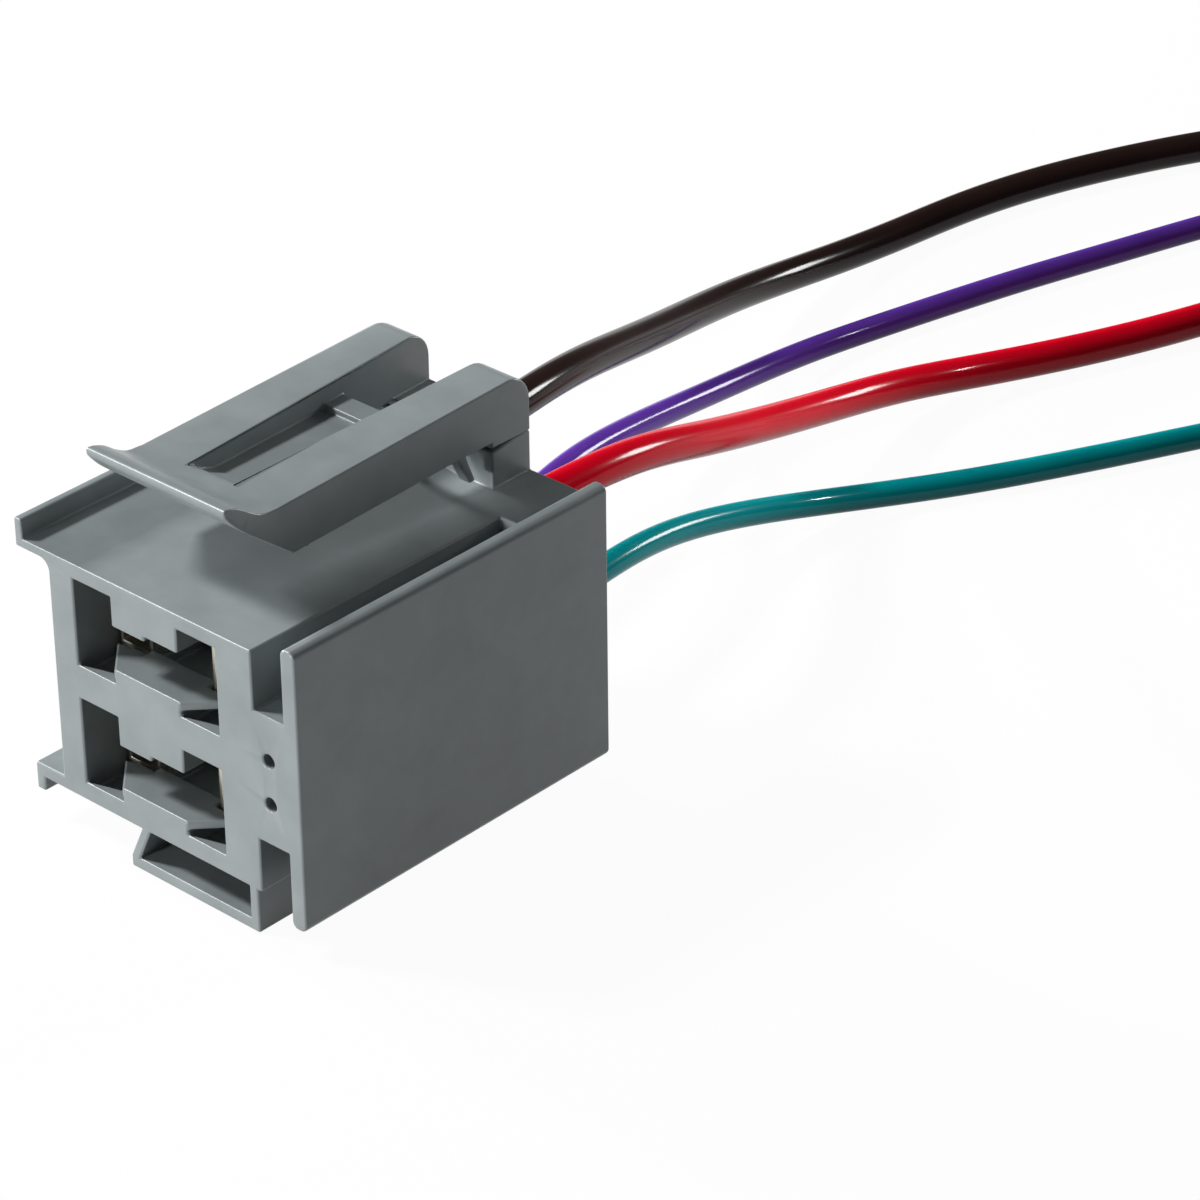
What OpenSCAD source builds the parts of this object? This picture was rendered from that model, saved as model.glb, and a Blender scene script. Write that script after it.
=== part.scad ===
// Trailer wiring connector: a four-slot moulded housing with a press-down latch on
// top, four stamped blade terminals, and the loose wires crimped into them.
// Millimetres, +Z up. The origin is the middle of the housing's footprint, on the
// ground. The open ends of the slots face -Y and the wires leave at +Y.

/* [Housing] */
// width of the slotted block
body_w = 28; // [27:0.1:34]
// depth, front to back
body_d = 43; // [42:0.1:52]
// height of the slotted block
body_h = 27; // [26:0.1:33]
// height of the foot under the block
foot_h = 5; // [4:0.1:6]
// gap between the block and the side panel
groove_w = 4; // [3.4:0.1:4.8]
// thickness of the side panel
panel_t = 1.9; // [1.6:0.1:2.3]

/* [Slots] */
// width of each terminal slot
slot_w = 5.3; // [5.2:0.1:6.4]
// height of each terminal slot
slot_h = 9.7; // [9.6:0.1:10.4]
// slot spacing, side to side
pitch_x = 14.4; // [13:0.1:15.5]
// slot spacing, up and down
pitch_z = 13.5; // [12:0.1:14]
// depth of the passages between the slots
passage_d = 12; // [8:0.1:14.4]

/* [Latch] */
// width of the latch arm
latch_w = 18.9; // [16:0.1:22.7]
// width of each rail of the arm
rail_w = 5.2; // [4.4:0.1:6.2]
// free height under the arm
latch_gap = 4.4; // [3.8:0.1:5.3]

/* [Terminals] */
// thickness of the terminal sheet
sheet_t = 0.5; // [0.4:0.1:0.6]
// depth of the terminal box
box_d = 12; // [10:0.1:14.4]
// thickness of the contact spring
spring_t = 0.3; // [0.2:0.05:0.4]

/* [Wires] */
// diameter of the two heavy wires
heavy_d = 3.9; // [3.2:0.1:4]
// diameter of the two light wires
light_d = 2.9; // [2.4:0.1:3.5]
// strand bundle inside a heavy wire
heavy_core_d = 2.4; // [2:0.1:2.5]
// strand bundle inside a light wire
light_core_d = 1.5; // [1.2:0.1:1.8]
// bare length at the far end of each wire
strip_len = 8; // [6:0.1:10]

/* [Hidden] */
$fn = 32;
eps = 0.2;

// ---- where things are, measured from the block's left side and front face ----
base_z = foot_h;
top_z = foot_h + body_h;
web_x = body_w + groove_w;
panel_x = web_x + panel_t;
rail_out = 4.6;
centre_x = (panel_x - rail_out) / 2;
centre_y = body_d / 2;

slot_left = (body_w - pitch_x - slot_w) / 2 - 0.75;
slot_low = base_z + (body_h - pitch_z - slot_h) / 2 + 0.2;
slot_x = [slot_left + slot_w / 2, slot_left + slot_w / 2 + pitch_x];
slot_z = [slot_low + slot_h / 2, slot_low + slot_h / 2 + pitch_z];

// passages joining the two slots of a row
nose_d = 5.2;
nose_h = 1.6;
passage_top = 7;
bridge_x = slot_left + slot_w;
bridge_w = pitch_x - slot_w;
hang_step = 0.55;

// slot floors are relieved between a slanting front ledge and the terminals
relief_h = 1.2;
relief_back = 5;
ledge_d = [0.4, 2];

// slot stops, one thin wedge at the inner side of each slot mouth
stop_d = 3.9;
stop_t = 1;
stop_w = 3.7;

// side web, panel, flange, rail
web_low = base_z + 6.1;
web_high = top_z - 6.5;
fill_y = body_d - 9;
panel_low = 2.8;
panel_high = top_z + 1.9;
panel_r = 0.8;
flange_t = 1;
lip_t = 1;
lip_high = top_z + 2.2;
cove_r = 1.2;
rail_t = 1.5;
rail_len = 4.1;
rail_lip = 1.2;
rail_drop = 3.1;
probe_d = 1.5;
probe_depth = 10;
probe_x = body_w + 1.8;
probe_z = [slot_low + 8.6, slot_low + 13.45];

// foot
foot_left = 9.4;
foot_right = body_w - 0.6;
foot_t = 1.3;
foot_wall = 1.2;
foot_slant = 1.8;
foot_back = body_d - 7;

// latch
latch_x = body_w / 2 + 0.25 - latch_w / 2;
hinge_z = top_z + latch_gap;
hinge_y = body_d - 2;
root_y = body_d - 5.5;
root_ease = 0.45;
arm_wall = 1.2;
arm_floor_t = 0.8;
arm_floor_rise = 3;
window_y = body_d - 12.6;
bar_d = 2.8;
bar_h = 0.6;
rail_top = 6.6;
rail_splay = 1.4;
rail_end_r = 3;
lip_edge_r = 0.35;
arc_steps = 8;
curve_steps = 4;
brace_w = 1.5;
brace_t = 0.85;
brace_drop = 2.5;
brace_run = 1.6;

// terminals
seat_y = [5.4, 4.2];
box_w = slot_w - 0.6;
box_h = slot_h - 0.6;
neck_d = 2;
core_crimp_d = 4;
crimp_gap = 1;
grip_d = 3;
neck_h = 3;
wire_start = box_d + neck_d + core_crimp_d + 0.6;
spring_front = 1.5;
spring_d = 9;
spring_h = 5;
spring_rise = 1.3;

// wires: side step and run from the slot's rear end, and share of the drop to the
// ground still to go
black_route = [
    [-0.5, 12, 1], [-3.5, 23.5, 0.95], [-7.5, 34.5, 0.83], [-11.5, 45, 0.68],
    [-15.5, 55.5, 0.53], [-19.5, 66, 0.39], [-23, 77, 0.26], [-25.5, 88, 0.14],
    [-26.5, 99.5, 0.05], [-26.5, 111, 0], [-25.5, 122.5, 0], [-23, 134, 0],
    [-19, 145, 0], [-14, 156, 0], [-8, 166, 0], [-1, 175.5, 0], [6, 185, 0]
];
red_route = [
    [-0.5, 12, 0.98], [-2.5, 23.5, 0.87], [-5, 34.5, 0.69], [-8, 45.5, 0.51],
    [-10.5, 56.5, 0.35], [-12.5, 67.5, 0.21], [-13, 79, 0.1], [-10.5, 90.5, 0.02],
    [-6, 101.5, 0], [-1.5, 112.5, 0], [2, 124, 0], [6, 135, 0], [10.5, 146, 0],
    [15, 157, 0], [19, 168, 0], [22, 179.5, 0], [24, 191, 0]
];
purple_route = [
    [-0.5, 10.5, 1], [-3, 21, 1], [-6, 31, 0.95], [-8.5, 41, 0.78],
    [-11, 51, 0.55], [-13, 61, 0.34], [-14.5, 71, 0.17], [-15, 81.5, 0.05],
    [-13.5, 92, 0], [-11, 102.5, 0], [-8.5, 112.5, 0], [-5.5, 122.5, 0],
    [-2.5, 132.5, 0], [0.5, 142.5, 0], [4.5, 152, 0], [9, 161.5, 0],
    [14.5, 170.5, 0], [20.5, 179, 0], [27, 187.5, 0]
];
teal_route = [
    [-1, 10.5, 1], [-3, 21, 0.92], [-5, 31, 0.7], [-5.5, 41.5, 0.43],
    [-4.5, 51.5, 0.18], [-1, 61.5, 0.03], [4, 70.5, 0], [9, 80, 0],
    [13.5, 89, 0], [18, 98.5, 0], [23, 107.5, 0], [27.5, 117, 0],
    [31, 127, 0], [34, 137, 0], [36.5, 147, 0], [38.5, 157.5, 0],
    [40, 168, 0], [40.5, 178.5, 0], [40.5, 189, 0]
];
cord_sides = 8;

housing_colour = "DimGray";
latch_colour = "SlateGray";
tin_colour = "Gainsboro";
spring_colour = "Silver";
copper_colour = "Peru";

// ---- placing ----

// from the block's own corner to the part's origin
module in_place() {
    translate([-centre_x, -centre_y, 0])
        children();
}

// a flat outline (across, up) drawn out along the depth
module along_depth(y0, y1) {
    translate([0, y1, 0])
        rotate([90, 0, 0])
            linear_extrude(height = y1 - y0)
                children();
}

// a flat outline (depth, up) drawn out across the width
module across_width(x0, x1) {
    translate([x0, 0, 0])
        rotate([90, 0, 90])
            linear_extrude(height = x1 - x0)
                children();
}

module block(x0, x1, y0, y1, z0, z1) {
    translate([x0, y0, z0])
        cube([x1 - x0, y1 - y0, z1 - z0]);
}

// ---- housing ----

module panel_outline() {
    translate([web_x, panel_low + panel_r])
        square([panel_t, panel_high - panel_low - 2 * panel_r]);
    translate([web_x + panel_r, panel_low])
        square([panel_t - 2 * panel_r, panel_high - panel_low]);
    for (x = [web_x + panel_r, panel_x - panel_r])
        for (z = [panel_low + panel_r, panel_high - panel_r])
            translate([x, z])
                circle(r = panel_r);
}

module body_outline() {
    translate([0, base_z])
        square([body_w, body_h]);
    translate([body_w - eps, web_low])
        square([groove_w + 2 * eps, web_high - web_low]);
    // upper flange with its raised lip and the cove under it
    translate([-rail_out, top_z - flange_t])
        square([rail_out + eps, flange_t]);
    translate([-rail_out, top_z - flange_t])
        square([lip_t, lip_high - top_z + flange_t]);
    difference() {
        translate([-cove_r, top_z - flange_t - cove_r])
            square([cove_r + eps, cove_r + eps]);
        translate([-cove_r, top_z - flange_t - cove_r])
            circle(r = cove_r);
    }
    // lower rail with its turned-down lip
    translate([-rail_len, base_z])
        square([rail_len + eps, rail_t]);
    translate([-rail_len, base_z + rail_t - rail_drop])
        square([rail_lip, rail_drop]);
}

module foot_outline() {
    polygon([
        [foot_left, 0], [foot_right, 0], [foot_right, base_z + eps],
        [foot_right - foot_wall, base_z + eps], [foot_right - foot_wall, foot_t],
        [foot_left + foot_wall, foot_t],
        [foot_left + foot_slant + foot_wall, base_z + eps],
        [foot_left + foot_slant, base_z + eps], [foot_left, foot_t]
    ]);
}

module slot_cut() {
    for (x = slot_x)
        for (z = slot_z) {
            block(x - slot_w / 2, x + slot_w / 2, -1, body_d + 1,
                z - slot_h / 2, z + slot_h / 2);
            translate([x, 0, z - slot_h / 2 - relief_h])
                linear_extrude(height = relief_h + eps)
                    polygon([
                        [-slot_w / 2, ledge_d[0]], [slot_w / 2, ledge_d[1]],
                        [slot_w / 2, relief_back], [-slot_w / 2, relief_back]
                    ]);
        }
}

module passage_cut() {
    for (z = slot_z) {
        low = z - slot_h / 2;
        block(bridge_x - eps, bridge_x + bridge_w + eps, -1, passage_d,
            low + nose_h, low + passage_top - hang_step);
        block(bridge_x + bridge_w / 2, bridge_x + bridge_w + eps, -1, passage_d,
            low + nose_h, low + passage_top);
        block(bridge_x - eps, bridge_x + bridge_w + eps, nose_d, passage_d,
            low - relief_h, low + nose_h + eps);
    }
}

module slot_stops() {
    for (z = slot_z) {
        translate([0, 0, z - slot_h / 2 + nose_h - stop_t]) {
            linear_extrude(height = stop_t)
                polygon([
                    [bridge_x + bridge_w - eps, 0], [bridge_x + bridge_w, 0],
                    [bridge_x + bridge_w + stop_w, stop_d],
                    [bridge_x + bridge_w - eps, stop_d]
                ]);
            linear_extrude(height = stop_t)
                polygon([
                    [bridge_x + eps, 0], [bridge_x + eps, stop_d],
                    [bridge_x - stop_w, stop_d], [bridge_x, 0]
                ]);
        }
    }
}

module latch_root() {
    across_width(latch_x, latch_x + latch_w)
        polygon([
            [root_y, top_z - eps], [body_d, top_z - eps], [body_d, hinge_z],
            [hinge_y, hinge_z], [root_y, hinge_z - root_ease]
        ]);
}

module housing() {
    color(housing_colour)
        in_place()
            difference() {
                union() {
                    difference() {
                        along_depth(0, body_d)
                            body_outline();
                        slot_cut();
                        passage_cut();
                    }
                    slot_stops();
                    along_depth(0, body_d)
                        panel_outline();
                    block(body_w - eps, web_x + eps, fill_y, body_d, base_z, top_z);
                    along_depth(0, foot_back)
                        foot_outline();
                    latch_root();
                }
                for (z = probe_z)
                    translate([probe_x, -1, z])
                        rotate([-90, 0, 0])
                            cylinder(d = probe_d, h = probe_depth + 1);
            }
}

// ---- latch ----

// points round a circle's arc, and along a smooth curve through given points
function arc(centre, r, from, to) =
    [for (i = [0 : arc_steps])
        let (a = from + (to - from) * i / arc_steps)
        centre + r * [cos(a), sin(a)]];

function between(a, b, c, d, t) =
    b + 0.5 * t * ((c - a) + t * ((2 * a - 5 * b + 4 * c - d)
        + t * (3 * (b - c) + d - a)));

function curve(p) = concat(
    [for (i = [0 : len(p) - 2]) for (k = [0 : curve_steps - 1])
        between(p[max(i - 1, 0)], p[i], p[i + 1], p[min(i + 2, len(p) - 1)],
            k / curve_steps)],
    [p[len(p) - 1]]);

module rail_outline() {
    polygon(concat(
        [[10.3, hinge_z], [root_y - 5.5, hinge_z + 0.6], [root_y, hinge_z + 0.6],
         [root_y, hinge_z], [body_d, hinge_z]],
        arc([body_d - rail_end_r, hinge_z + rail_top - rail_end_r], rail_end_r, 0, 90),
        [[8.5, hinge_z + 5.6]]));
}

// seen from above, a rail's inner side splays towards the front
module rail_plan() {
    linear_extrude(height = hinge_z + rail_top + eps)
        polygon([
            [latch_x, 0], [latch_x + rail_w + rail_splay, 0],
            [latch_x + rail_w, body_d], [latch_x, body_d]
        ]);
}

// a blade that sweeps up from the rails to a rounded front edge
module lip_outline() {
    translate([0, hinge_z])
        polygon(concat(
            [[12.3, arm_floor_rise + arm_floor_t], [9.8, 4.7]],
            curve([[9.6, 5.3], [8.5, 5.6], [6.9, 5.75], [5.4, 6.45], [3.9, 7.5], [2.6, 8.03]]),
            arc([2, 7.78], lip_edge_r, 70, 200),
            curve([[1.75, 7.35], [2.3, 6.65], [3.4, 5.5], [5.5, 3.75], [10.3, 0]]),
            [[12.3, 0.04]]));
}

// one of the two thin struts under the arm's rear
module brace_outline() {
    translate([root_y - 4.8, hinge_z])
        polygon([
            [0, 0.7], [brace_run, -brace_drop],
            [brace_run + brace_t, -brace_drop], [brace_t + 0.35, 0.7]
        ]);
}

// the arm is the same on both sides
module on_both_sides() {
    children();
    translate([2 * latch_x + latch_w, 0, 0])
        mirror([1, 0, 0])
            children();
}

module latch_arm() {
    color(latch_colour)
        in_place() {
            difference() {
                union() {
                    on_both_sides()
                        intersection() {
                            rail_plan();
                            across_width(latch_x, latch_x + rail_w + rail_splay)
                                rail_outline();
                        }
                    across_width(latch_x, latch_x + latch_w)
                        lip_outline();
                }
                // rails are cored out from below
                on_both_sides()
                    across_width(latch_x + arm_wall, latch_x + rail_w - arm_wall)
                        polygon([
                            [14, hinge_z - 1], [root_y - 6, hinge_z - 1],
                            [root_y - 6, hinge_z + 5.1], [14, hinge_z + 4.5]
                        ]);
            }
            // thin raised floor between the rails, with a bar across its rear end
            across_width(latch_x + rail_w - eps, latch_x + latch_w - rail_w + eps)
                translate([0, hinge_z + arm_floor_rise])
                    polygon([
                        [12, 0.04 - arm_floor_rise], [14.5, 0], [window_y, 0],
                        [window_y, arm_floor_t + bar_h],
                        [window_y - bar_d, arm_floor_t + bar_h],
                        [window_y - bar_d, arm_floor_t], [12, arm_floor_t]
                    ]);
            // bridge over the root
            across_width(latch_x + rail_w - eps, latch_x + latch_w - rail_w + eps)
                polygon([
                    [root_y, hinge_z], [body_d, hinge_z],
                    [body_d, hinge_z + 0.9], [root_y, hinge_z + 0.9]
                ]);
            on_both_sides()
                across_width(latch_x, latch_x + brace_w)
                    brace_outline();
        }
}

// ---- terminals and springs ----

// sheet-metal box with a neck along one side, a barrel round the strands and a
// barrel round the insulation
module terminal(col, row, wire_d, core_d) {
    x = slot_x[col];
    z = slot_z[row];
    y0 = seat_y[col];
    y1 = y0 + box_d;
    y2 = y1 + neck_d;
    y3 = y2 + core_crimp_d + crimp_gap;
    neck_t = box_w / 2 - core_d / 2 - sheet_t / 2;
    color(tin_colour)
        in_place()
            difference() {
                union() {
                    difference() {
                        block(x - box_w / 2, x + box_w / 2, y0, y1,
                            z - box_h / 2, z + box_h / 2);
                        block(x - box_w / 2 + sheet_t, x + box_w / 2 - sheet_t,
                            y0 - 1, y1 + 1,
                            z - box_h / 2 + sheet_t, z + box_h / 2 - sheet_t);
                    }
                    block(x - box_w / 2, x - box_w / 2 + neck_t, y1 - eps,
                        y3 + grip_d, z - neck_h / 2, z + neck_h / 2);
                    translate([x, y2, z])
                        rotate([-90, 0, 0])
                            cylinder(d = core_d + 2 * sheet_t, h = core_crimp_d);
                    translate([x, y3, z])
                        rotate([-90, 0, 0])
                            cylinder(d = box_w, h = grip_d);
                }
                translate([x, y2 - 1, z])
                    rotate([-90, 0, 0])
                        cylinder(d = core_d, h = core_crimp_d + 2);
                translate([x, y2 + core_crimp_d, z])
                    rotate([-90, 0, 0])
                        cylinder(d = wire_d, h = crimp_gap + grip_d + 1);
            }
}

// arched leaf lying against the right-hand wall of its box
module contact_spring(col, row) {
    x = slot_x[col] + box_w / 2 - sheet_t;
    y = seat_y[col] + spring_front;
    steps = 12;
    rise = [for (i = [0 : steps]) spring_rise * pow(sin(180 * i / steps), 2)];
    wall_side = [for (i = [0 : steps]) [x - rise[i], y + spring_d * i / steps]];
    blade_side = [for (i = [steps : -1 : 0])
        [x - spring_t - rise[i], y + spring_d * i / steps]];
    color(spring_colour)
        in_place()
            translate([0, 0, slot_z[row] - spring_h / 2])
                linear_extrude(height = spring_h)
                    polygon(concat(wall_side, blade_side));
}

// ---- wires ----

// route in the part's own frame, from inside the grip to the far end
function route(col, row, wire_d, steps) = concat(
    [[slot_x[col] - centre_x, seat_y[col] + wire_start - centre_y, slot_z[row]],
     [slot_x[col] - centre_x, centre_y, slot_z[row]]],
    [for (s = steps) [
        slot_x[col] - centre_x + s[0], centre_y + s[1],
        wire_d / 2 + s[2] * (slot_z[row] - wire_d / 2)]]);

function unit(v) = v / norm(v);

function heading(p, i) =
    i == 0 ? unit(p[1] - p[0])
    : i == len(p) - 1 ? unit(p[i] - p[i - 1])
    : unit(p[i + 1] - p[i - 1]);

// eight points round the route, the first one straight below it
function ring(at, ahead, r) =
    let (side = unit(cross(ahead, [0, 0, 1])), up = cross(side, ahead))
    [for (k = [0 : cord_sides - 1])
        at + r * (sin(360 * k / cord_sides) * side
            - cos(360 * k / cord_sides) * up)];

module sweep(p, r) {
    points = [for (i = [0 : len(p) - 1]) each ring(p[i], heading(p, i), r)];
    last = (len(p) - 1) * cord_sides;
    walls = [for (i = [0 : len(p) - 2]) for (k = [0 : cord_sides - 1])
        let (
            a = i * cord_sides + k,
            b = i * cord_sides + (k + 1) % cord_sides
        )
        each [[a, b, b + cord_sides], [a, b + cord_sides, a + cord_sides]]];
    polyhedron(points, concat(
        [[for (k = [cord_sides - 1 : -1 : 0]) k]],
        walls,
        [[for (k = [0 : cord_sides - 1]) last + k]]));
}

module wire(col, row, wire_d, steps, shade) {
    color(shade)
        sweep(route(col, row, wire_d, steps), wire_d / 2);
}

// strands held in the barrel, up to the start of the insulation
module crimped_strands(col, row, core_d) {
    front = box_d + neck_d - 0.5;
    color(copper_colour)
        in_place()
            translate([slot_x[col], seat_y[col] + front, slot_z[row]])
                rotate([-90, 0, 0])
                    cylinder(d = core_d, h = wire_start - front);
}

// strands left bare at the far end
module bare_end(col, row, wire_d, core_d, steps) {
    p = route(col, row, wire_d, steps);
    tip = p[len(p) - 1];
    ahead = tip - p[len(p) - 2];
    color(copper_colour)
        translate(tip)
            rotate([-90, 0, atan2(ahead[1], ahead[0]) - 90])
                cylinder(d = core_d, h = strip_len);
}

module terminal_black() { terminal(0, 1, heavy_d, heavy_core_d); }
module terminal_red() { terminal(1, 1, heavy_d, heavy_core_d); }
module terminal_purple() { terminal(0, 0, light_d, light_core_d); }
module terminal_teal() { terminal(1, 0, light_d, light_core_d); }

module contact_spring_black() { contact_spring(0, 1); }
module contact_spring_red() { contact_spring(1, 1); }
module contact_spring_purple() { contact_spring(0, 0); }
module contact_spring_teal() { contact_spring(1, 0); }

module strands_crimped_black() { crimped_strands(0, 1, heavy_core_d); }
module strands_crimped_red() { crimped_strands(1, 1, heavy_core_d); }
module strands_crimped_purple() { crimped_strands(0, 0, light_core_d); }
module strands_crimped_teal() { crimped_strands(1, 0, light_core_d); }

module wire_black() { wire(0, 1, heavy_d, black_route, "Black"); }
module wire_red() { wire(1, 1, heavy_d, red_route, "Crimson"); }
module wire_purple() { wire(0, 0, light_d, purple_route, "Indigo"); }
module wire_teal() { wire(1, 0, light_d, teal_route, "Teal"); }

module bare_end_black() { bare_end(0, 1, heavy_d, heavy_core_d, black_route); }
module bare_end_red() { bare_end(1, 1, heavy_d, heavy_core_d, red_route); }
module bare_end_purple() { bare_end(0, 0, light_d, light_core_d, purple_route); }
module bare_end_teal() { bare_end(1, 0, light_d, light_core_d, teal_route); }

housing();
latch_arm();
terminal_black();
terminal_red();
terminal_purple();
terminal_teal();
contact_spring_black();
contact_spring_red();
contact_spring_purple();
contact_spring_teal();
strands_crimped_black();
strands_crimped_red();
strands_crimped_purple();
strands_crimped_teal();
wire_black();
wire_red();
wire_purple();
wire_teal();
bare_end_black();
bare_end_red();
bare_end_purple();
bare_end_teal();
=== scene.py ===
"""Looks for the trailer wiring connector: moulded housing and latch, stamped terminals,
stranded copper and four insulated leads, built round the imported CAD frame."""

import math

import bmesh
import bpy
import numpy as np
from mathutils import Matrix, Vector


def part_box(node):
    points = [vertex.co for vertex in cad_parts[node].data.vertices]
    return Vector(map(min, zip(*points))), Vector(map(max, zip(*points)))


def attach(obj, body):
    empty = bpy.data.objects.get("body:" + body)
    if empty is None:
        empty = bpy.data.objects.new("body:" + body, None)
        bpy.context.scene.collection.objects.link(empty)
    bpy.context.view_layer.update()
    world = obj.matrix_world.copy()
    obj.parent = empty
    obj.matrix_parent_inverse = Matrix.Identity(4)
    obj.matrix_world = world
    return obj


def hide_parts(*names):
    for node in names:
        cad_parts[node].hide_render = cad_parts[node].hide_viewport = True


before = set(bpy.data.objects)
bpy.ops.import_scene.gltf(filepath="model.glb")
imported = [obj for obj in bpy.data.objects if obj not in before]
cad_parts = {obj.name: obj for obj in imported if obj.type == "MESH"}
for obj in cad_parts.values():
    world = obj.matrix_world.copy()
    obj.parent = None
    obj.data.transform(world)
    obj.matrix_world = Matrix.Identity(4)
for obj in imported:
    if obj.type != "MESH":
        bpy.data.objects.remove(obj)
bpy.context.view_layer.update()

MM = 0.001
WIRES = ("black", "red", "purple", "teal")

# a colour Mix node's dark and light colour sockets and its result, by number
MIX_DARK, MIX_LIGHT, MIX_RESULT = 6, 7, 2


# ---- shared helpers -------------------------------------------------------------

def linear(hex_colour):
    """sRGB hex to linear red, green, blue, alpha: the usual piecewise sRGB curve."""
    channels = [int(hex_colour[i:i + 2], 16) / 255 for i in (1, 3, 5)]
    straight = [c / 12.92 if c <= 0.04045 else ((c + 0.055) / 1.055) ** 2.4 for c in channels]
    return (*straight, 1.0)


def add(tree, kind, links=None, sockets=None, **settings):
    """Adds one node. Settings are its properties, sockets are {input socket: value} and
    links are {input socket: output socket of another node}."""
    made = tree.nodes.new(kind)
    for name, value in settings.items():
        setattr(made, name, value)
    for name, value in (sockets or {}).items():
        made.inputs[name].default_value = value
    for name, output in (links or {}).items():
        tree.links.new(output, made.inputs[name])
    return made


def new_material(name):
    """An empty node material and its tree, with the Principled surface wired up."""
    material = bpy.data.materials.new(name)
    material.use_nodes = True
    tree = material.node_tree
    surface = tree.nodes["Principled BSDF"]
    return material, tree, surface


def mesh_piece(name, points, faces, smooth=True):
    """A mesh object at the origin from an (n, 3) array in metres and a face list."""
    data = bpy.data.meshes.new(name)
    data.from_pydata(points.tolist(), [], faces.tolist() if hasattr(faces, "tolist") else faces)
    data.update()
    data.polygons.foreach_set("use_smooth", [smooth] * len(data.polygons))
    piece = bpy.data.objects.new(name, data)
    bpy.context.scene.collection.objects.link(piece)
    return piece


def give(piece, material, slot, body, *stands_for):
    """Sets a piece's material and the body it rides on, and hides the CAD nodes it
    stands for. The slot argument is not used."""
    piece.data.materials.clear()
    piece.data.materials.append(material)
    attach(piece, body)
    if stands_for:
        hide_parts(*stands_for)
    return piece


# ---- camera ---------------------------------------------------------------------

CAMERA_AT = Vector((307.85, -292.4, 271.5)) * MM
CAMERA_AZIMUTH = math.radians(42.706)
CAMERA_ELEVATION = math.radians(30.444)
CAMERA_ROLL = math.radians(-0.642)


def place_camera():
    """A long lens looking down on the open slots from the front right. The view's
    back vector is (sin a cos e, -cos a cos e, sin e)."""
    a, e, r = CAMERA_AZIMUTH, CAMERA_ELEVATION, CAMERA_ROLL
    back = Vector((math.sin(a) * math.cos(e), -math.cos(a) * math.cos(e), math.sin(e)))
    right = Vector((math.cos(a), math.sin(a), 0))
    up = back.cross(right)
    across = math.cos(r) * right + math.sin(r) * up
    upward = back.cross(across)
    lens = bpy.data.cameras.new("camera")
    lens.lens = 150
    lens.sensor_width = 36
    lens.clip_start = 0.01
    camera = bpy.data.objects.new("camera", lens)
    camera.matrix_world = Matrix.Translation(CAMERA_AT) @ Matrix(
        (across, upward, back)).transposed().to_4x4()
    bpy.context.scene.collection.objects.link(camera)
    bpy.context.scene.camera = camera


place_camera()


# ---- leads ----------------------------------------------------------------------

# each row is the side step and run from the slot's rear end in millimetres, and the
# share of the drop to the ground still to go
ROUTES = {
    "black": [
        (-0.5, 12, 1), (-3.5, 23.5, 0.95), (-7.5, 34.5, 0.83), (-11.5, 45, 0.68),
        (-15.5, 55.5, 0.53), (-19.5, 66, 0.39), (-23, 77, 0.26), (-25.5, 88, 0.14),
        (-26.5, 99.5, 0.05), (-26.5, 111, 0), (-25.5, 122.5, 0), (-23, 134, 0),
        (-19, 145, 0), (-14, 156, 0), (-8, 166, 0), (-1, 175.5, 0), (6, 185, 0),
    ],
    "red": [
        (-0.5, 12, 0.98), (-2.5, 23.5, 0.87), (-5, 34.5, 0.69), (-8, 45.5, 0.51),
        (-10.5, 56.5, 0.35), (-12.5, 67.5, 0.21), (-13, 79, 0.1), (-10.5, 90.5, 0.02),
        (-6, 101.5, 0), (-1.5, 112.5, 0), (2, 124, 0), (6, 135, 0), (10.5, 146, 0),
        (15, 157, 0), (19, 168, 0), (22, 179.5, 0), (24, 191, 0),
    ],
    "purple": [
        (-0.5, 10.5, 1), (-3, 21, 1), (-6, 31, 0.95), (-8.5, 41, 0.78),
        (-11, 51, 0.55), (-13, 61, 0.34), (-14.5, 71, 0.17), (-15, 81.5, 0.05),
        (-13.5, 92, 0), (-11, 102.5, 0), (-8.5, 112.5, 0), (-5.5, 122.5, 0),
        (-2.5, 132.5, 0), (0.5, 142.5, 0), (4.5, 152, 0), (9, 161.5, 0),
        (14.5, 170.5, 0), (20.5, 179, 0), (27, 187.5, 0),
    ],
    "teal": [
        (-1, 10.5, 1), (-3, 21, 0.92), (-5, 31, 0.7), (-5.5, 41.5, 0.43),
        (-4.5, 51.5, 0.18), (-1, 61.5, 0.03), (4, 70.5, 0), (9, 80, 0),
        (13.5, 89, 0), (18, 98.5, 0), (23, 107.5, 0), (27.5, 117, 0),
        (31, 127, 0), (34, 137, 0), (36.5, 147, 0), (38.5, 157.5, 0),
        (40, 168, 0), (40.5, 178.5, 0), (40.5, 189, 0),
    ],
}
WIRE_D = {"black": 3.9, "red": 3.9, "purple": 2.9, "teal": 2.9}
CORE_D = {"black": 2.4, "red": 2.4, "purple": 1.5, "teal": 1.5}
STRIP_LENGTH = 8.0 * MM
RING_STEP = 1.0 * MM
LEAD_SIDES = 32
STEPS_PER_SPAN = 200


def slot_centre(wire):
    """Middle of the terminal this lead is crimped into, across and up, in metres."""
    low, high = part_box("terminal_" + wire)
    return (low[0] + high[0]) / 2, (low[2] + high[2]) / 2


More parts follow.
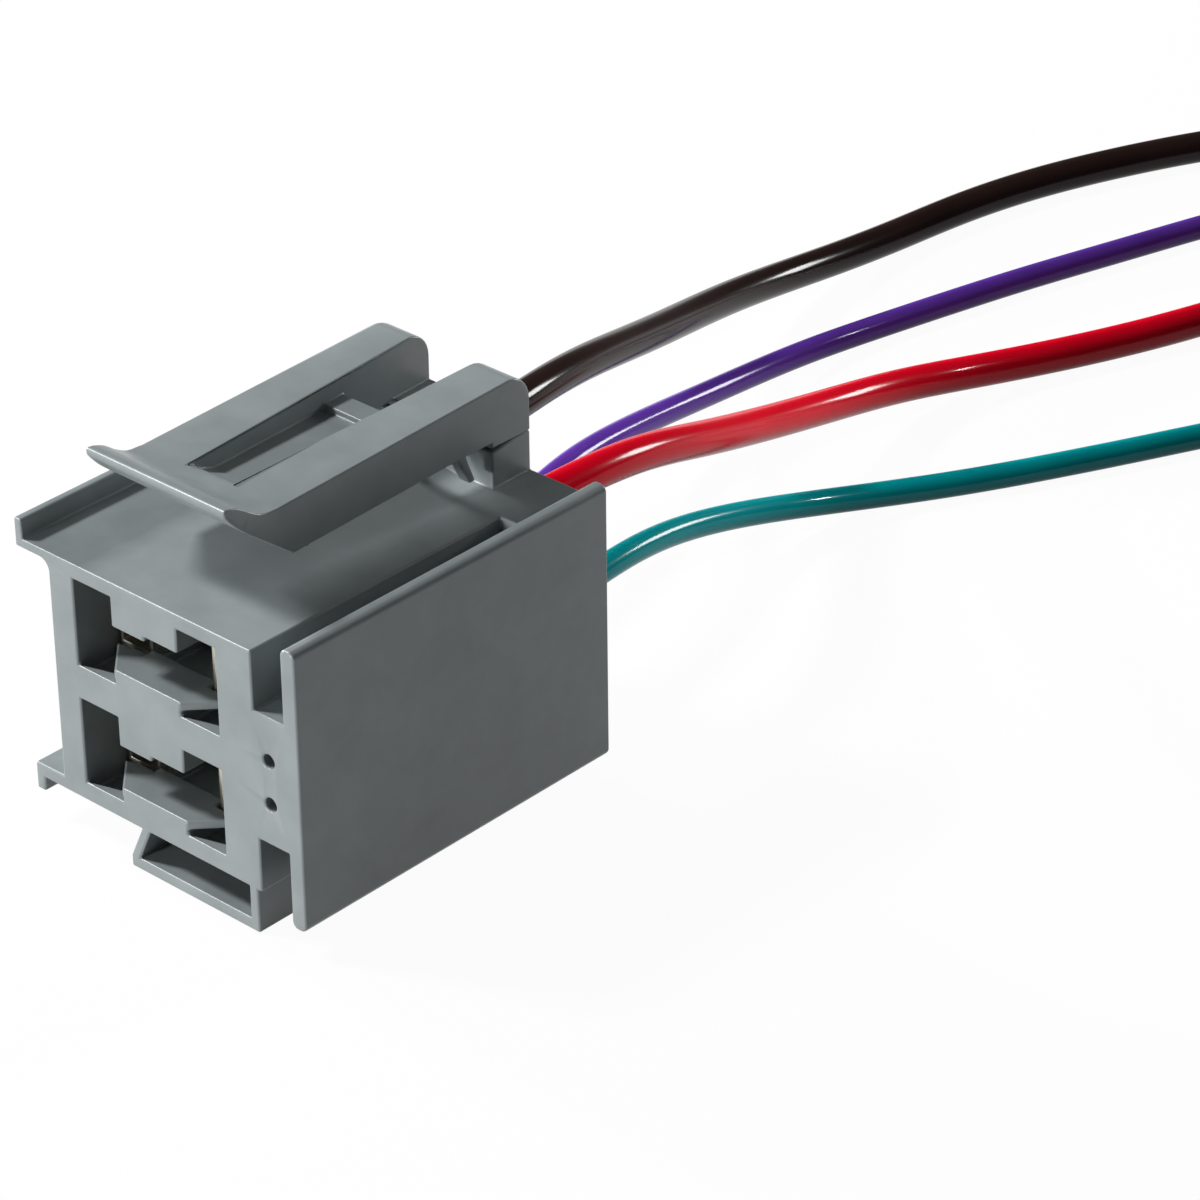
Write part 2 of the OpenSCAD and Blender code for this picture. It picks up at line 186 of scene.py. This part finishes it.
def route(wire):
    """The lead's listed points in metres, from inside the terminal's grip, through
    the slot's rear end, to the far end of its insulation."""
    x, z = slot_centre(wire)
    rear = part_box("housing")[1][1]
    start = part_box("strands_crimped_" + wire)[1][1]
    radius = WIRE_D[wire] / 2 * MM
    steps = np.array(ROUTES[wire])
    free = np.column_stack([
        x + steps[:, 0] * MM, rear + steps[:, 1] * MM, radius + steps[:, 2] * (z - radius)])
    return np.vstack([[x, start, z], [x, rear, z], free])


def smooth_line(points, spacing):
    """A uniform cubic B-spline with the route's points as its control points, its end
    points doubled back on themselves so that it starts and ends there, resampled at an
    even spacing along its length."""
    whole = np.vstack([2 * points[0] - points[1], points, 2 * points[-1] - points[-2]])
    spans = len(whole) - 3
    t = np.linspace(0, 1, STEPS_PER_SPAN, endpoint=False)[:, None]
    parts = [((1 - t)**3 * whole[i] + (3 * t**3 - 6 * t**2 + 4) * whole[i + 1]
              + (-3 * t**3 + 3 * t**2 + 3 * t + 1) * whole[i + 2] + t**3 * whole[i + 3]) / 6
             for i in range(spans)]
    line = np.vstack([*parts, points[-1:]])
    run = np.concatenate([[0], np.cumsum(np.linalg.norm(np.diff(line, axis=0), axis=1))])
    count = int(round(run[-1] / spacing)) + 1
    even = np.linspace(0, run[-1], count)
    return np.column_stack([np.interp(even, run, line[:, k]) for k in range(3)])


def frames_along(line):
    """Unit tangent, side and up arrays along a line: side is level, so the seam never
    twists."""
    ahead = np.gradient(line, axis=0)
    ahead /= np.linalg.norm(ahead, axis=1)[:, None]
    side = np.cross(ahead, [0, 0, 1])
    side /= np.linalg.norm(side, axis=1)[:, None]
    return ahead, side, np.cross(side, ahead)


def tube(name, line, radius, sides):
    """Points line(s) + r(s) (cos t side + sin t up) on a grid of s along and t around,
    capped at both ends. UV: once around, and length in circumferences."""
    ahead, side, up = frames_along(line)
    turn = np.linspace(0, 2 * np.pi, sides, endpoint=False)
    r = np.broadcast_to(radius, len(line))[:, None, None]
    grid = (line[:, None, :] + r * (np.cos(turn)[None, :, None] * side[:, None, :]
                                    + np.sin(turn)[None, :, None] * up[:, None, :]))
    rings = len(line)
    i, k = np.meshgrid(np.arange(rings - 1), np.arange(sides), indexing="ij")
    k2 = (k + 1) % sides
    here, ahead_of = i * sides, (i + 1) * sides
    quads = np.stack([here + k, here + k2, ahead_of + k2, ahead_of + k], -1)
    faces = quads.reshape(-1, 4).tolist()
    faces.append(list(range(sides))[::-1])
    faces.append([(rings - 1) * sides + n for n in range(sides)])
    piece = mesh_piece(name, grid.reshape(-1, 3), faces)
    step = np.linalg.norm(line[1] - line[0])
    tall = np.arange(rings) * step / (2 * np.pi * float(np.max(radius)))
    u = np.stack([k, k + 1, k + 1, k], -1) / sides
    v = np.stack([tall[i], tall[i], tall[i + 1], tall[i + 1]], -1)
    uv = np.stack([u, v], -1).reshape(-1, 2)
    caps = np.full((2 * sides, 2), 0.5)
    layer = piece.data.uv_layers.new(name="along")
    layer.data.foreach_set("uv", np.vstack([uv, caps]).ravel())
    return piece


def make_leads():
    """One round insulated lead per slot, on a smooth curve along its route, nowhere lower
    than lying on the ground."""
    made = {}
    for wire in WIRES:
        line = smooth_line(route(wire), RING_STEP)
        radius = WIRE_D[wire] / 2 * MM
        line[:, 2] = np.maximum(line[:, 2], radius)
        made[wire] = (tube("lead_" + wire, line, radius, LEAD_SIDES), line)
    return made


leads = make_leads()


# ---- stranded copper ------------------------------------------------------------

STRANDS = 19
STRAND_SECTIONS = 25
STRAND_SIDES = 8
LAY_LENGTHS = 11      # one turn of the lay, in core diameters
STRAND_CLOSENESS = 0.98
END_RAGGEDNESS = 0.03
LAP = 0.5 * MM        # how far bare strands start inside the insulation
BARE_FLARE = 0.12


def strand_bundle(name, at, ahead, length, core, flare):
    """Nineteen strands, one in the middle and rings of 6 and 12, each a thin tube on
    a helix: radius and angle of its ring, turned by the lay along the length, with the
    radius grown by flare times the cube of the way along and the far ends uneven."""
    strand = core / 5
    ahead = np.asarray(ahead) / np.linalg.norm(ahead)
    side = np.cross(ahead, [0, 0, 1])
    up = np.cross(side, ahead)
    along = np.linspace(0, 1, STRAND_SECTIONS)
    around = np.linspace(0, 2 * np.pi, STRAND_SIDES, endpoint=False)
    ring = np.array([0] + [1] * 6 + [2] * 12)
    start = np.concatenate([[0], np.arange(6) * np.pi / 3, np.arange(12) * np.pi / 6])
    lay = 2 * np.pi * length / (LAY_LENGTHS * core)
    spread = 1 + flare * along**3
    angle = start[:, None] + lay * along[None, :]
    reach = ring[:, None] * strand * STRAND_CLOSENESS * spread[None, :]
    short = 1 - END_RAGGEDNESS * np.abs(np.sin(7.0 * np.arange(STRANDS)))[:, None]
    centre = (np.asarray(at) + (length * along * short)[..., None] * ahead
              + (reach * np.cos(angle))[..., None] * side
              + (reach * np.sin(angle))[..., None] * up)
    circle = strand / 2 * (np.cos(around)[:, None] * side + np.sin(around)[:, None] * up)
    points = centre[:, :, None, :] + circle[None, None, :, :]
    s, i, k = np.meshgrid(np.arange(STRANDS), np.arange(STRAND_SECTIONS - 1),
                          np.arange(STRAND_SIDES), indexing="ij")
    here = (s * STRAND_SECTIONS + i) * STRAND_SIDES
    ahead_of = here + STRAND_SIDES
    k2 = (k + 1) % STRAND_SIDES
    quads = np.stack([here + k, here + k2, ahead_of + k2, ahead_of + k], -1)
    per_strand = STRAND_SECTIONS * STRAND_SIDES
    last = per_strand - STRAND_SIDES
    caps = [[n * per_strand + j for j in reversed(range(STRAND_SIDES))] for n in range(STRANDS)]
    caps += [[n * per_strand + last + j for j in range(STRAND_SIDES)] for n in range(STRANDS)]
    return mesh_piece(name, points.reshape(-1, 3), quads.reshape(-1, 4).tolist() + caps)


# ---- moulded pieces -------------------------------------------------------------

SHARP = math.radians(28)
FLAT = 0.005          # radians
MERGE = 0.002 * MM
ROUNDING = {"housing": 0.25 * MM, "arm": 0.2 * MM, "terminal": 0.12 * MM, "spring": 0.06 * MM}
RAIL_ROUNDING = 0.8 * MM
RAIL_TOP_ABOVE = 6.5 * MM
RAIL_TOP_BEHIND = 7.5 * MM


def sharp_edges(data, angle):
    """True for each edge whose two faces turn by more than the angle."""
    work = bmesh.new()
    work.from_mesh(data)
    turned = np.array([len(e.link_faces) == 2 and e.calc_face_angle(0.0) > angle
                       for e in work.edges])
    work.free()
    return turned


def softened_copy(node, name, edge, segments=3, heavier=None, heavy_edge=None):
    """A merged copy of a CAD node with its flat faces cut into better triangles and every
    edge sharper than 28 degrees rounded to the tool's small radius. Edges whose middles
    heavier() picks get the larger heavy_edge."""
    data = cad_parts[node].data.copy()
    data.name = name
    work = bmesh.new()
    work.from_mesh(data)
    bmesh.ops.remove_doubles(work, verts=work.verts, dist=MERGE)
    work.normal_update()
    flat = [e for e in work.edges
            if len(e.link_faces) == 2 and e.calc_face_angle(0.0) < FLAT]
    bmesh.ops.beautify_fill(work, faces=work.faces, edges=flat, method="ANGLE")
    work.to_mesh(data)
    work.free()
    data.polygons.foreach_set("use_smooth", [True] * len(data.polygons))
    largest = heavy_edge or edge
    weight = np.where(sharp_edges(data, SHARP), edge / largest, 0.0)
    if heavier:
        ends = np.zeros(len(data.edges) * 2, int)
        data.edges.foreach_get("vertices", ends)
        place = np.zeros(len(data.vertices) * 3)
        data.vertices.foreach_get("co", place)
        middle = place.reshape(-1, 3)[ends.reshape(-1, 2)].mean(1)
        weight = np.where(heavier(middle) & (weight > 0), 1.0, weight)
    data.attributes.new("bevel_weight_edge", "FLOAT", "EDGE").data.foreach_set("value", weight)
    piece = bpy.data.objects.new(name, data)
    bpy.context.scene.collection.objects.link(piece)
    rounding = piece.modifiers.new("rounding", "BEVEL")
    rounding.width = largest
    rounding.segments = segments
    rounding.limit_method = "WEIGHT"
    rounding.use_clamp_overlap = False
    rounding.loop_slide = False
    rounding.miter_outer = "MITER_SHARP"
    shading = piece.modifiers.new("flat_faces_stay_flat", "WEIGHTED_NORMAL")
    shading.weight = 50
    return piece


# ---- materials ------------------------------------------------------------------

def moulded_nylon():
    """Glass-filled nylon 66 from a spark-eroded mould: satin, slightly mottled slate
    grey with a fine grain and faint flow marks."""
    material, tree, surface = new_material("moulded_nylon")
    place = add(tree, "ShaderNodeTexCoord").outputs["Object"]
    # flow marks a few millimetres long
    flow = add(tree, "ShaderNodeTexNoise", {"Vector": place},
               sockets={"Scale": 180.0, "Detail": 3.0, "Roughness": 0.55})
    # spark-eroded grain in cells of 0.24 mm, coarser than the real grain so that it shows
    grain = add(tree, "ShaderNodeTexNoise", {"Vector": place},
                sockets={"Scale": 4200.0, "Detail": 2.0, "Roughness": 0.6})
    tint = add(tree, "ShaderNodeValToRGB", {"Fac": flow.outputs["Fac"]})
    tint.color_ramp.elements[0].position = 0.3
    tint.color_ramp.elements[1].position = 0.7
    tint.color_ramp.elements[0].color = linear("#7b8283")
    tint.color_ramp.elements[1].color = linear("#868d8e")
    tree.links.new(tint.outputs["Color"], surface.inputs["Base Color"])
    rough = add(tree, "ShaderNodeMapRange", {"Value": grain.outputs["Fac"]},
                sockets={"To Min": 0.28, "To Max": 0.42})
    tree.links.new(rough.outputs["Result"], surface.inputs["Roughness"])
    bump = add(tree, "ShaderNodeBump", {"Height": grain.outputs["Fac"]},
               sockets={"Strength": 0.12, "Distance": 0.00003})
    tree.links.new(bump.outputs["Normal"], surface.inputs["Normal"])
    surface.inputs["IOR"].default_value = 1.5
    return material


def insulation(name, light, dark):
    """Extruded PVC insulation: a thin glossy skin over a deep colour, with fine draw lines
    along the lead and a slow unevenness in the colour."""
    material, tree, surface = new_material(name)
    place = add(tree, "ShaderNodeUVMap", uv_map="along").outputs["UV"]
    # about forty lines around, each about 1.7 circumferences long
    stretched = add(tree, "ShaderNodeMapping", {"Vector": place},
                    sockets={"Scale": (40, 0.6, 1)})
    lines = add(tree, "ShaderNodeTexNoise", {"Vector": stretched.outputs["Vector"]},
                sockets={"Scale": 1.0, "Detail": 4.0, "Roughness": 0.6})
    patches = add(tree, "ShaderNodeTexNoise", {"Vector": place},
                  sockets={"Scale": 1.4, "Detail": 2.0})
    tint = add(tree, "ShaderNodeMix", {"Factor": patches.outputs["Fac"]}, data_type="RGBA")
    tint.inputs[MIX_DARK].default_value = linear(dark)
    tint.inputs[MIX_LIGHT].default_value = linear(light)
    tree.links.new(tint.outputs[MIX_RESULT], surface.inputs["Base Color"])
    rough = add(tree, "ShaderNodeMapRange", {"Value": lines.outputs["Fac"]},
                sockets={"To Min": 0.16, "To Max": 0.26})
    tree.links.new(rough.outputs["Result"], surface.inputs["Roughness"])
    bump = add(tree, "ShaderNodeBump", {"Height": lines.outputs["Fac"]},
               sockets={"Strength": 0.06, "Distance": 0.00002})
    tree.links.new(bump.outputs["Normal"], surface.inputs["Normal"])
    tree.links.new(bump.outputs["Normal"], surface.inputs["Coat Normal"])
    surface.inputs["Specular IOR Level"].default_value = 0.03
    surface.inputs["Coat Weight"].default_value = 0.22
    surface.inputs["Coat Roughness"].default_value = 0.12
    surface.inputs["Coat IOR"].default_value = 1.53
    return material


def sheet_metal(name, light, dark, low, high):
    """Rolled and stamped strip, or drawn wire for the strands: a metal with fine lines
    along the depth and a little dulling from handling."""
    material, tree, surface = new_material(name)
    place = add(tree, "ShaderNodeTexCoord").outputs["Object"]
    stretched = add(tree, "ShaderNodeMapping", {"Vector": place},
                    sockets={"Scale": (9000, 500, 9000)})  # lines 0.11 mm apart, 2 mm long
    lines = add(tree, "ShaderNodeTexNoise", {"Vector": stretched.outputs["Vector"]},
                sockets={"Scale": 1.0, "Detail": 2.0})
    dull = add(tree, "ShaderNodeTexNoise", {"Vector": place},
               sockets={"Scale": 600.0, "Detail": 2.0})
    tint = add(tree, "ShaderNodeMix", {"Factor": dull.outputs["Fac"]}, data_type="RGBA")
    tint.inputs[MIX_DARK].default_value = linear(dark)
    tint.inputs[MIX_LIGHT].default_value = linear(light)
    tree.links.new(tint.outputs[MIX_RESULT], surface.inputs["Base Color"])
    rough = add(tree, "ShaderNodeMapRange", {"Value": lines.outputs["Fac"]},
                sockets={"To Min": low, "To Max": high})
    tree.links.new(rough.outputs["Result"], surface.inputs["Roughness"])
    surface.inputs["Metallic"].default_value = 1.0
    return material


nylon = moulded_nylon()
tinned = sheet_metal("tinned_brass", "#d9d6ca", "#b5b1a3", 0.22, 0.38)
sprung = sheet_metal("spring_steel", "#c9c9c6", "#a6a7a6", 0.18, 0.3)
copper = sheet_metal("bare_copper", "#e0956b", "#c0704a", 0.2, 0.34)
PVC = {
    "black": insulation("black_insulation", "#2a1d1a", "#1c1311"),
    "red": insulation("red_insulation", "#cf0420", "#b90019"),
    "purple": insulation("purple_insulation", "#562f90", "#45257e"),
    "teal": insulation("teal_insulation", "#00868a", "#00747a"),
}


# ---- putting it together --------------------------------------------------------

def dress_leads():
    """Leads, their crimped strands and their bare far ends."""
    for wire in WIRES:
        lead, line = leads[wire]
        give(lead, PVC[wire], wire + "_insulation", "body", "wire_" + wire)
        core = CORE_D[wire] * MM
        low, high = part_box("strands_crimped_" + wire)
        x, z = slot_centre(wire)
        held = strand_bundle("strands_crimped_" + wire + "_copper", (x, low[1], z),
                             (0, 1, 0), high[1] - low[1], core, 0.0)
        give(held, copper, "bare_copper", "body", "strands_crimped_" + wire)
        ahead = line[-1] - line[-2]
        ahead = ahead / np.linalg.norm(ahead)
        bare = strand_bundle("bare_end_" + wire + "_copper", line[-1] - LAP * ahead, ahead,
                             STRIP_LENGTH + LAP, core, BARE_FLARE)
        give(bare, copper, "bare_copper", "body", "bare_end_" + wire)


def dress_moulding():
    """Housing and latch arm with rounded moulded edges; the left rail's outer top edge is
    rounder than the rest."""
    housing = softened_copy("housing", "housing_moulding", ROUNDING["housing"])
    give(housing, nylon, "moulded_nylon", "body", "housing")
    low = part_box("latch_arm")[0]

    def outer_top(at):
        on_left_face = at[:, 0] - low[0] < 0.05 * MM
        on_top = at[:, 2] > low[2] + RAIL_TOP_ABOVE
        behind_lip = at[:, 1] > low[1] + RAIL_TOP_BEHIND
        return on_left_face & on_top & behind_lip

    arm = softened_copy("latch_arm", "latch_arm_moulding", ROUNDING["arm"],
                        heavier=outer_top, heavy_edge=RAIL_ROUNDING)
    give(arm, nylon, "moulded_nylon", "latch", "latch_arm")


def dress_terminals():
    """Stamped terminals and contact springs."""
    for wire in WIRES:
        box = softened_copy("terminal_" + wire, "terminal_" + wire + "_stamping",
                            ROUNDING["terminal"], segments=2)
        give(box, tinned, "tinned_brass", "body", "terminal_" + wire)
        leaf = softened_copy("contact_spring_" + wire, "contact_spring_" + wire + "_leaf",
                             ROUNDING["spring"], segments=2)
        give(leaf, sprung, "spring_steel", "body", "contact_spring_" + wire)


dress_leads()
dress_moulding()
dress_terminals()


# ---- floor and light ------------------------------------------------------------

FLOOR_SHARE = 0.9     # how much of the floor's look is its own white, the rest shows shadow
FLOOR_WHITE = 1.06
FLOOR_REACH = 3.0
SKY_DIM = 0.045
LIT_SPOT = (0, 0.02, 0.02)    # where the leads leave the housing


def floor_material():
    """Pale paper: white to the eye and in reflections, with the object's shadow."""
    material = bpy.data.materials.new("pale_floor")
    material.use_nodes = True
    tree = material.node_tree
    tree.nodes.clear()
    path = add(tree, "ShaderNodeLightPath")
    seen = add(tree, "ShaderNodeMath", {0: path.outputs["Is Camera Ray"],
                                        1: path.outputs["Is Glossy Ray"]}, operation="MAXIMUM")
    seen = add(tree, "ShaderNodeMath",
               {0: seen.outputs[0], 1: path.outputs["Is Transmission Ray"]}, operation="MAXIMUM")
    share = add(tree, "ShaderNodeMath", {0: seen.outputs[0]}, operation="MULTIPLY")
    share.inputs[1].default_value = FLOOR_SHARE
    paper = add(tree, "ShaderNodeBsdfDiffuse", sockets={"Color": linear("#9c9c9c")})
    white = add(tree, "ShaderNodeEmission", sockets={"Strength": FLOOR_WHITE})
    mixed = add(tree, "ShaderNodeMixShader", {0: share.outputs[0], 1: paper.outputs[0],
                                              2: white.outputs[0]})
    add(tree, "ShaderNodeOutputMaterial", {"Surface": mixed.outputs[0]})
    return material


def lay_floor():
    """A flat sheet well past the view on every side."""
    corners = FLOOR_REACH * np.array([[-1, -1, 0], [1, -1, 0], [1, 1, 0], [-1, 1, 0]])
    floor = mesh_piece("floor", corners, [[0, 1, 2, 3]], smooth=False)
    floor.data.materials.append(floor_material())


def light_sky():
    """A dim even surround, white where it is looked at directly or through glass."""
    world = bpy.data.worlds.new("surround")
    bpy.context.scene.world = world
    world.use_nodes = True
    tree = world.node_tree
    tree.nodes.clear()
    path = add(tree, "ShaderNodeLightPath")
    seen = add(tree, "ShaderNodeMath", {0: path.outputs["Is Camera Ray"],
                                        1: path.outputs["Is Transmission Ray"]},
               operation="MAXIMUM")
    strength = add(tree, "ShaderNodeMapRange", {"Value": seen.outputs[0]},
                   sockets={"To Min": SKY_DIM, "To Max": 1.0})
    sky = add(tree, "ShaderNodeBackground", {"Strength": strength.outputs["Result"]})
    sky.inputs["Color"].default_value = (1, 1, 1, 1)
    add(tree, "ShaderNodeOutputWorld", {"Surface": sky.outputs[0]})


def lamp(name, towards, distance, size, watts, aim=LIT_SPOT, cone=None):
    """A lamp at a distance along a direction from its aim, facing it: a square soft box,
    or with a cone angle in degrees a round lamp in a snoot. Distance and size in metres."""
    data = bpy.data.lights.new(name, "SPOT" if cone else "AREA")
    if cone:
        data.spot_size = math.radians(cone)
        data.spot_blend = 0.7
        data.shadow_soft_size = size / 2
    else:
        data.shape = "SQUARE"
        data.size = size
    data.energy = watts
    made = bpy.data.objects.new(name, data)
    direction = Vector(towards).normalized()
    made.location = Vector(aim) + direction * distance
    made.rotation_mode = "QUATERNION"
    made.rotation_quaternion = direction.to_track_quat("Z", "Y")
    bpy.context.scene.collection.objects.link(made)


lay_floor()
light_sky()
lamp("key_above_left", (-0.59, -0.33, 0.74), 1.0, 0.14, 9.5)
lamp("front_fill", (-0.12, -1.0, 0.11), 1.2, 0.2, 12.0)
lamp("low_left", (-1.0, 0.0, 0.25), 1.0, 0.07, 14.0)
lamp("lead_gleam", (0.18, 0.95, 0.22), 1.0, 0.2, 4.5)
lamp("near_leads", (0.55, 0.62, 0.56), 0.6, 0.06, 9.0, aim=(-0.008, 0.068, 0.016), cone=8.5)

bpy.context.scene.view_settings.view_transform = "Standard"
